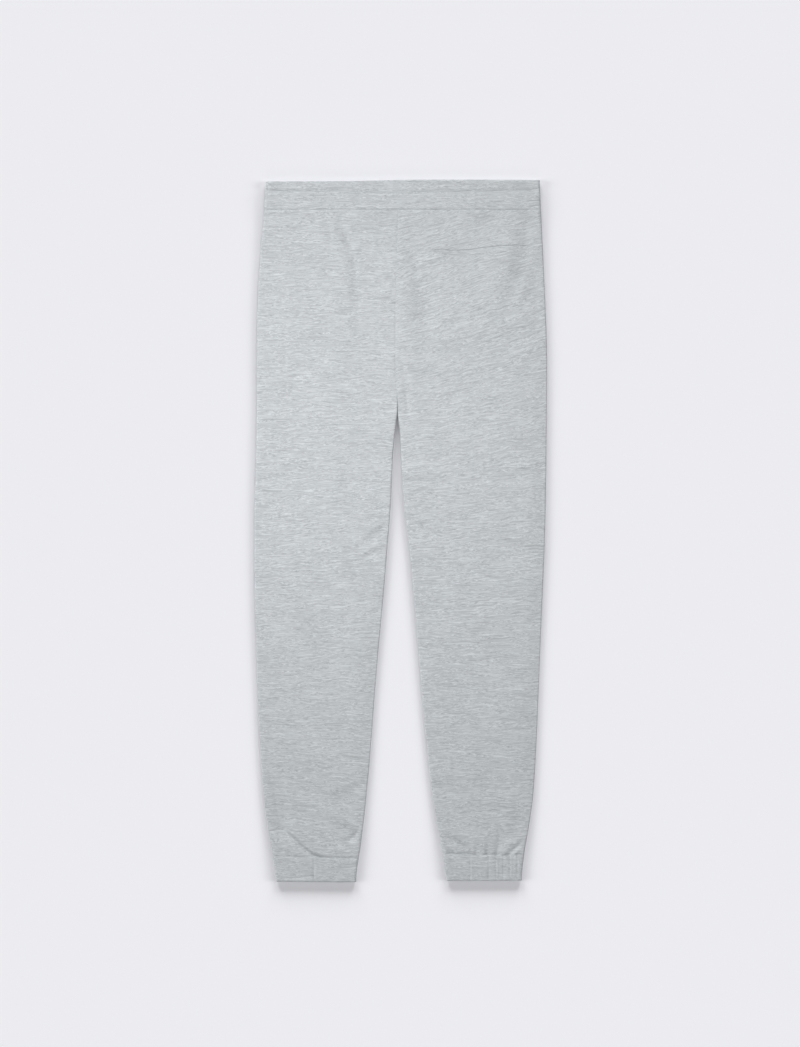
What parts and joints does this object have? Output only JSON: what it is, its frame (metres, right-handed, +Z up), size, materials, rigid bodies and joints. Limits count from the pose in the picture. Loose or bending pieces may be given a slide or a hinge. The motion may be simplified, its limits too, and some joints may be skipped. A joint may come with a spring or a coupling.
{
  "type": "jogger sweatpants",
  "caption": "Jogger sweatpants laid flat with the back uppermost: elastic waistband, tapered legs, welt back pocket and gathered ankle cuffs.",
  "frame": {"origin": "under the middle of the garment's box, on the surface that it lies on", "axes": "+X across the garment, +Y from the cuffs to the waist, +Z up from the surface, out of the back of the garment"},
  "size_m": [0.425, 1.0198, 0.0085],
  "materials": {
    "jersey": "light grey marl sweatshirt cloth, matt, with fine crosswise streaks",
    "band_jersey": "the same marl cloth folded round an elastic, matt",
    "pocketing": "thin plain grey jersey, matt"
  },
  "bodies": {
    "root": {"back_left": "jersey", "back_right": "jersey", "front_left": "jersey", "front_right": "jersey", "waistband": "band_jersey", "cuff_left": "band_jersey", "cuff_right": "band_jersey", "pocket_welt": "jersey", "pocket_bag": "pocketing"}
  },
  "joints": []
}
